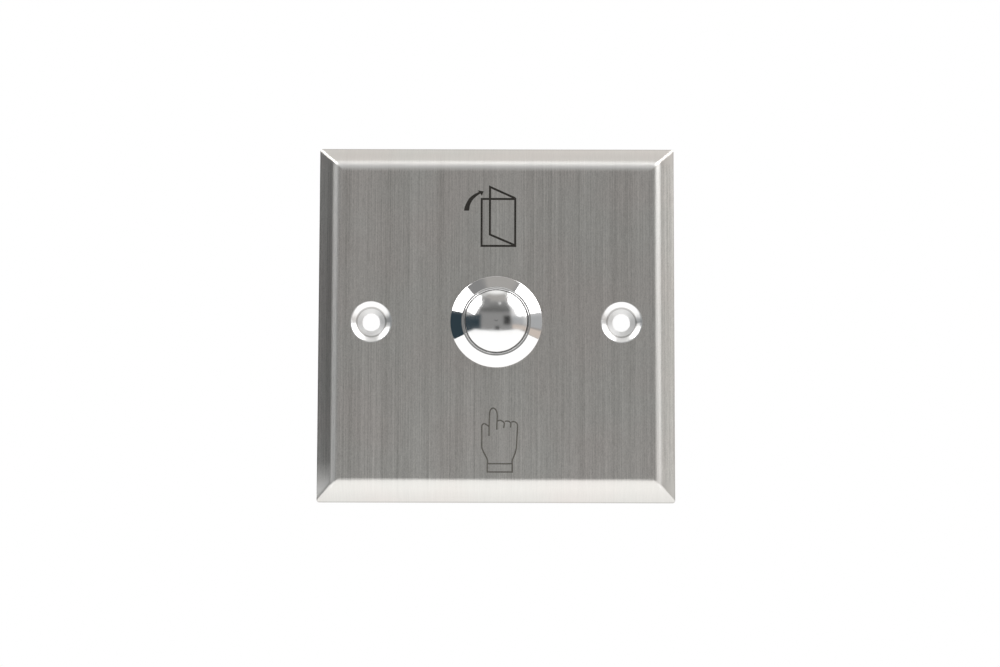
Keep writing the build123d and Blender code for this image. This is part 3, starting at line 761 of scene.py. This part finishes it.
def room():
    """The studio as a dome, open above and below, its light set corner by corner from ROOM."""
    azimuths = range(-180, 180, ROOM_SPACING)
    elevations = range(ROOM_LOWEST, ROOM_HIGHEST + 1, ROOM_SPACING)
    points, lights = [], []
    for el in elevations:
        for az in azimuths:
            points.append(direction(az, el) * ROOM_DISTANCE)
            light = np.array((1.0, 1.0, 1.0))
            for az_range, el_range, width, radiance, tint in ROOM:
                share = patch(az, el, az_range, el_range, width)
                if radiance is None:
                    radiance = np.interp(el, *zip(*MIDDLE_TONES))
                light = light * (1 - share) + radiance * np.array(tint) * share
            lights.append((*light, 1.0))
    mat = glow("room_light", 1.0)
    tree = mat.node_tree
    attribute = tree.nodes.new("ShaderNodeAttribute")
    attribute.attribute_name = "light"
    emit = [n for n in tree.nodes if n.type == "EMISSION"][0]
    tree.links.new(attribute.outputs["Color"], emit.inputs["Color"])
    obj = add_object("studio_room", points, quads(len(azimuths), len(elevations)), mat)
    layer = obj.data.attributes.new("light", "FLOAT_COLOR", "POINT")
    layer.data.foreach_set("color", np.array(lights, np.float32).ravel())
    obj.visible_camera = False


room()
softbox("softbox_right", ((51.8, 16.5), (49, 26), (44, 37), (36.5, 47), (50, 60), (66, 68), (104, 60),
                          (88, 16.5)), 4.2)
softbox("softbox_left", ((-54, 18), (-52, 26), (-47, 36), (-43.5, 43), (-52, 51), (-61, 57),
                         (-104, 60), (-98, 36), (-87, 28), (-70, 26), (-60, 21)), 4.4)

table_right = [(TABLE_SIDE, TABLE_EDGE), (TABLE_SIDE, 0), (TABLE_BACK_SIDE, TABLE_BEND),
               (TABLE_BACK_SIDE, TABLE_BACK)]
table_outline = table_right + [(-x, y) for x, y in reversed(table_right)]
table = add_object("white_table", [(x, y, TABLE_LEVEL) for x, y in table_outline],
                   [tuple(range(len(table_outline)))], glow("white_table", 1.25))
table.visible_camera = False


# ---------------------------------------------------------------- white floor and background
def seen(tree):
    """1 for rays from the camera, a mirror or glass, 0 for those that light things."""
    path = tree.nodes.new("ShaderNodeLightPath")
    mirrored = maths(tree, "MAXIMUM", path.outputs["Is Glossy Ray"],
                     path.outputs["Is Transmission Ray"])
    return maths(tree, "MAXIMUM", path.outputs["Is Camera Ray"], mirrored)


def mix_shaders(tree, output, fac, first, second):
    """Sends the shader first, and second by the share fac, to an output node."""
    mix = tree.nodes.new("ShaderNodeMixShader")
    tree.links.new(fac, mix.inputs["Fac"])
    tree.links.new(first, mix.inputs[1])
    tree.links.new(second, mix.inputs[2])
    tree.links.new(mix.outputs["Shader"], tree.nodes.new(output).inputs["Surface"])


floor_corners = [(x * FLOOR_HALF, y * FLOOR_HALF, FLOOR_LEVEL)
                 for x, y in ((-1, -1), (1, -1), (1, 1), (-1, 1))]
floor_mat = bpy.data.materials.new("studio_floor")
floor = add_object("studio_floor", floor_corners, [(0, 1, 2, 3)], floor_mat)
tree = emptied(floor_mat)
diffuse = tree.nodes.new("ShaderNodeBsdfDiffuse")
diffuse.inputs["Color"].default_value = (0.93, 0.93, 0.93, 1.0)
emit = tree.nodes.new("ShaderNodeEmission")
mix_shaders(tree, "ShaderNodeOutputMaterial", maths(tree, "MULTIPLY", seen(tree), 0.8),
            diffuse.outputs["BSDF"], emit.outputs["Emission"])

world = bpy.data.worlds.new("studio")
bpy.context.scene.world = world
tree = emptied(world)
backgrounds = []
for strength in (0.85, 1.0):
    background = tree.nodes.new("ShaderNodeBackground")
    background.inputs["Color"].default_value = WHITE
    background.inputs["Strength"].default_value = strength
    backgrounds.append(background.outputs["Background"])
mix_shaders(tree, "ShaderNodeOutputWorld", seen(tree), *backgrounds)

# ---------------------------------------------------------------- camera, in degrees and millimetres
CAMERA_AZIMUTH, CAMERA_ELEVATION, CAMERA_ROLL = 0.19, -6.5, 0.164
CAMERA_DISTANCE, CAMERA_ASIDE, CAMERA_LIFT = 617.0, 0.878, -2.08
CAMERA_LENS, CAMERA_SENSOR = 91.9, 36.0

back = direction(CAMERA_AZIMUTH, CAMERA_ELEVATION)
azimuth, roll = math.radians(CAMERA_AZIMUTH), math.radians(CAMERA_ROLL)
level_right = Vector((math.cos(azimuth), math.sin(azimuth), 0.0))
right = level_right * math.cos(roll) + back.cross(level_right) * math.sin(roll)
up = back.cross(right)
place = (back * CAMERA_DISTANCE + right * CAMERA_ASIDE + up * CAMERA_LIFT) * MM

camera_data = bpy.data.cameras.new("photo_camera")
camera_data.sensor_width = CAMERA_SENSOR
camera_data.lens = CAMERA_LENS
camera_data.clip_start = 0.01
camera_data.clip_end = 20.0
camera = bpy.data.objects.new("photo_camera", camera_data)
camera.matrix_world = Matrix(((right.x, up.x, back.x, place.x), (right.y, up.y, back.y, place.y),
                              (right.z, up.z, back.z, place.z), (0.0, 0.0, 0.0, 1.0)))
bpy.context.scene.collection.objects.link(camera)
bpy.context.scene.camera = camera
bpy.context.scene.view_settings.view_transform = "Standard"
